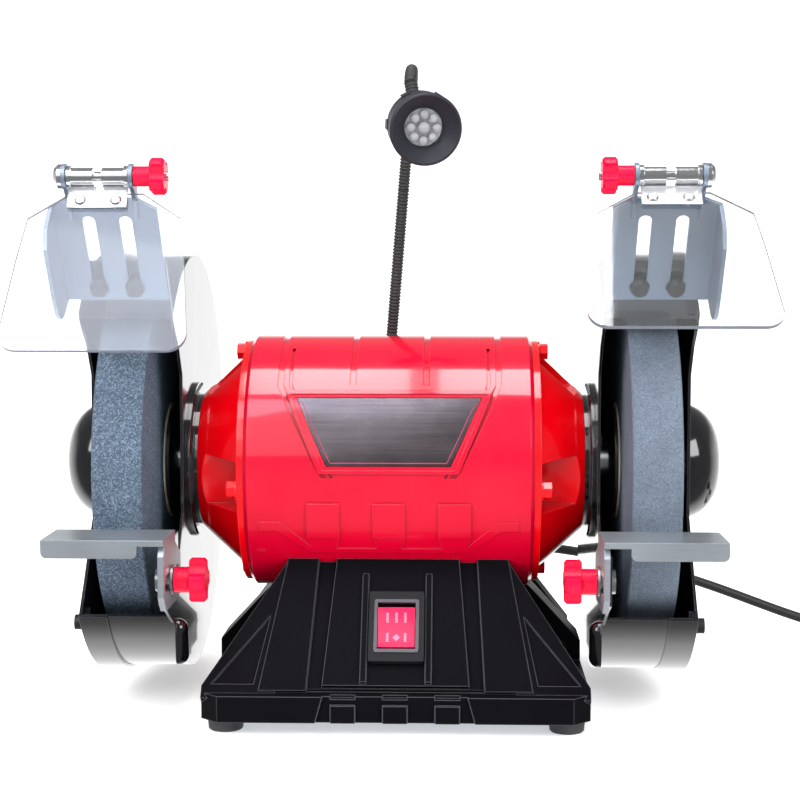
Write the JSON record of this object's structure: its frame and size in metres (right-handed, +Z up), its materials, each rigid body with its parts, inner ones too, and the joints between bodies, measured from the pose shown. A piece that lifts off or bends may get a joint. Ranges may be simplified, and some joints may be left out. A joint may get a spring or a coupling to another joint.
{
  "type": "bench grinder",
  "caption": "Bench grinder with guarded wheels, spark plates, clear eye shields, sliding tool rests, a bendable work lamp and a cast pedestal base with a rocker switch.",
  "frame": {"origin": "middle of the footprint on the bench, measured without the cord; the shaft runs 40 mm behind it and 130 mm above it", "axes": "+X along the shaft towards the right wheel as the user sees it, +Y away from the user, +Z up"},
  "size_m": [0.5555, 0.3581, 0.351],
  "materials": {
    "red_paint": "glossy saturated red lacquer over a cast and rolled housing",
    "black_casting": "satin black enamel over a die casting",
    "black_gloss": "gloss black enamel on pressed sheet",
    "zinc_sheet": "bright zinc plating on bent sheet steel",
    "black_screws": "black oxide",
    "bright_steel": "ground and plated steel",
    "dark_steel": "dark steel with a thin film of oil",
    "chrome": "bright nickel and chrome plate",
    "lamination": "stacked electrical steel",
    "copper": "enamelled copper wire in resin",
    "can": "drawn can",
    "stone_coarse": "bonded abrasive, coarse grit",
    "stone_fine": "bonded abrasive, finer grit",
    "blotter": "compressed paper",
    "clear": "clear polycarbonate",
    "red_plastic": "moulded red plastic",
    "rocker_red": "tinted moulded plastic",
    "black_plastic": "moulded plastic",
    "lamp_grey": "dark grey moulded plastic",
    "neck": "corrugated flexible neck with a rubber skin",
    "lens": "clear moulded lens cluster",
    "black_rubber": "soft black rubber",
    "brass": "plated brass"
  },
  "bodies": {
    "frame": {"base_shell": "black_casting", "base_plate": "zinc_sheet", "base_screws": "bright_steel", "rubber_feet": "black_rubber", "saddle_bolts": "bright_steel", "motor_barrel": "red_paint", "nameplate": "black_gloss", "end_bell_left": "red_paint", "end_bell_right": "red_paint", "bell_screws": "red_paint", "stator_core": "lamination", "stator_windings": "copper", "ball_bearings": "bright_steel", "run_capacitor": "can", "switch_bezel": "black_plastic", "switch_seal": "clear", "guard_left": "black_gloss", "guard_right": "black_gloss", "guard_cover_left": "black_gloss", "guard_cover_right": "black_gloss", "guard_cover_screws": "black_screws", "guard_mount_screws": "black_screws", "spark_screws": "black_screws", "rest_bolts": "bright_steel", "lamp_socket": "black_plastic", "cord_gland": "black_rubber", "mains_cord": "black_rubber", "cord_coil": "black_rubber", "mains_plug": "black_plastic", "plug_pins": "brass"},
    "rotor": {"shaft": "bright_steel", "rotor_core": "lamination", "wheel_left": "stone_coarse", "wheel_right": "stone_fine", "wheel_flanges": "dark_steel", "wheel_blotters": "blotter", "shaft_nuts": "bright_steel"},
    "rocker": {"switch_rocker": "rocker_red"},
    "spark_left": {"spark_plate_left": "zinc_sheet", "shield_rod_left": "chrome"},
    "shield_left": {"shield_holder_left": "chrome", "shield_rivets_left": "bright_steel", "eye_shield_left": "clear"},
    "shield_knob_left": {"shield_knob_left": "red_plastic"},
    "rest_swivel_left": {"rest_bush_left": "bright_steel"},
    "rest_left": {"tool_rest_left": "zinc_sheet"},
    "rest_knob_left": {"rest_knob_left": "red_plastic"},
    "spark_right": {"spark_plate_right": "zinc_sheet", "shield_rod_right": "chrome"},
    "shield_right": {"shield_holder_right": "chrome", "shield_rivets_right": "bright_steel", "eye_shield_right": "clear"},
    "shield_knob_right": {"shield_knob_right": "red_plastic"},
    "rest_swivel_right": {"rest_bush_right": "bright_steel"},
    "rest_right": {"tool_rest_right": "zinc_sheet"},
    "rest_knob_right": {"rest_knob_right": "red_plastic"},
    "lamp_lower": {"lamp_neck_lower": "neck"},
    "lamp_upper": {"lamp_neck_upper": "neck"},
    "lamp_head": {"lamp_head": "lamp_grey", "lamp_lens": "lens"}
  },
  "joints": [
    {"name": "rotor_spin", "type": "hinge", "parent": "frame", "child": "rotor", "pos_m": [0, 0.04, 0.13], "axis": [1, 0, 0], "continuous": true},
    {"name": "switch_rock", "type": "hinge", "parent": "frame", "child": "rocker", "pos_m": [0.0045, -0.0322, 0.0476], "axis": [1, 0, 0], "range_deg": [-18, 0]},
    {"name": "spark_slide_left", "type": "slide", "parent": "frame", "child": "spark_left", "axis": [0, 0.6004, -0.7997], "range_m": [0, 0.023]},
    {"name": "shield_tilt_left", "type": "hinge", "parent": "spark_left", "child": "shield_left", "pos_m": [-0.136, -0.09368, 0.27987], "axis": [1, 0, 0], "range_deg": [-79, 6]},
    {"name": "shield_knob_turn_left", "type": "hinge", "parent": "spark_left", "child": "shield_knob_left", "pos_m": [-0.111, -0.09368, 0.27987], "axis": [1, 0, 0], "continuous": true},
    {"name": "rest_tilt_left", "type": "hinge", "parent": "frame", "child": "rest_swivel_left", "pos_m": [-0.107, -0.073, 0.082], "axis": [1, 0, 0], "range_deg": [-5, 20]},
    {"name": "rest_slide_left", "type": "slide", "parent": "rest_swivel_left", "child": "rest_left", "axis": [0, -1, 0], "range_m": [0, 0.018]},
    {"name": "rest_knob_turn_left", "type": "hinge", "parent": "frame", "child": "rest_knob_left", "pos_m": [-0.1, -0.073, 0.082], "axis": [1, 0, 0], "continuous": true},
    {"name": "spark_slide_right", "type": "slide", "parent": "frame", "child": "spark_right", "axis": [0, 0.6004, -0.7997], "range_m": [0, 0.023]},
    {"name": "shield_tilt_right", "type": "hinge", "parent": "spark_right", "child": "shield_right", "pos_m": [0.136, -0.09368, 0.27987], "axis": [1, 0, 0], "range_deg": [-66, 19]},
    {"name": "shield_knob_turn_right", "type": "hinge", "parent": "spark_right", "child": "shield_knob_right", "pos_m": [0.111, -0.09368, 0.27987], "axis": [1, 0, 0], "continuous": true},
    {"name": "rest_tilt_right", "type": "hinge", "parent": "frame", "child": "rest_swivel_right", "pos_m": [0.107, -0.073, 0.082], "axis": [1, 0, 0], "range_deg": [-5, 20]},
    {"name": "rest_slide_right", "type": "slide", "parent": "rest_swivel_right", "child": "rest_right", "axis": [0, -1, 0], "range_m": [0, 0.018]},
    {"name": "rest_knob_turn_right", "type": "hinge", "parent": "frame", "child": "rest_knob_right", "pos_m": [0.1, -0.073, 0.082], "axis": [1, 0, 0], "continuous": true},
    {"name": "lamp_bend_low", "type": "hinge", "parent": "frame", "child": "lamp_lower", "pos_m": [-0.003, 0.09, 0.19], "axis": [1, 0, 0], "range_deg": [-18, 18]},
    {"name": "lamp_bend_up", "type": "hinge", "parent": "lamp_lower", "child": "lamp_upper", "pos_m": [0.00438, 0.09, 0.2817], "axis": [1, 0, 0], "range_deg": [-20, 20]},
    {"name": "lamp_head_tilt", "type": "hinge", "parent": "lamp_upper", "child": "lamp_head", "pos_m": [0.0091, 0.05468, 0.34037], "axis": [1, 0, 0], "range_deg": [-20, 20]}
  ]
}
